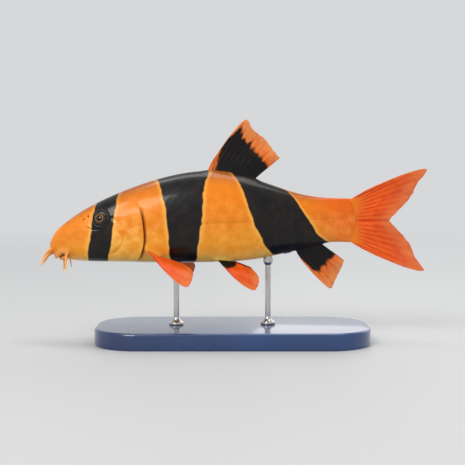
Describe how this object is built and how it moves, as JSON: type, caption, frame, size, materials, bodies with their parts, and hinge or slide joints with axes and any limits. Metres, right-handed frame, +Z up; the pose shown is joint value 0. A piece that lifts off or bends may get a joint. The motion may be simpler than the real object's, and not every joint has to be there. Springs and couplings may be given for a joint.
{
  "type": "clown loach model",
  "caption": "Life-size still model of a clown loach, swimming level, with banded body, forked tail and barbels, held by rods on a flat display base.",
  "frame": {"origin": "centre of the base's flat underside, on the surface that the stand rests on", "axes": "+Z up; the fish's head points along -X and its tail along +X; its left side faces -Y"},
  "size_m": [0.2057, 0.062, 0.1186],
  "materials": {
    "skin": "satin orange skin with three broad black bands, wet sheen",
    "red_fin": "orange-red fin membrane over darker red rays",
    "dark_fin": "black fin membrane with an orange edge",
    "eye": "glossy dark eye with a thin gold ring",
    "feeler": "soft orange feeler",
    "stand_lacquer": "deep blue satin lacquer",
    "stand_steel": "turned stainless steel"
  },
  "bodies": {
    "root": {"head": "skin", "trunk": "skin", "tail_stem": "skin", "dorsal_fin": "dark_fin", "anal_fin": "dark_fin", "tail_fin_upper_lobe": "red_fin", "tail_fin_lower_lobe": "red_fin", "eye_left": "eye", "pectoral_fin_left": "red_fin", "pelvic_fin_left": "red_fin", "barbel_snout_inner_left": "feeler", "barbel_snout_outer_left": "feeler", "barbel_mouth_corner_left": "feeler", "barbel_chin_left": "feeler", "eye_right": "eye", "pectoral_fin_right": "red_fin", "pelvic_fin_right": "red_fin", "barbel_snout_inner_right": "feeler", "barbel_snout_outer_right": "feeler", "barbel_mouth_corner_right": "feeler", "barbel_chin_right": "feeler", "stand_base": "stand_lacquer", "stand_rod_front": "stand_steel", "stand_rod_rear": "stand_steel"}
  },
  "joints": []
}
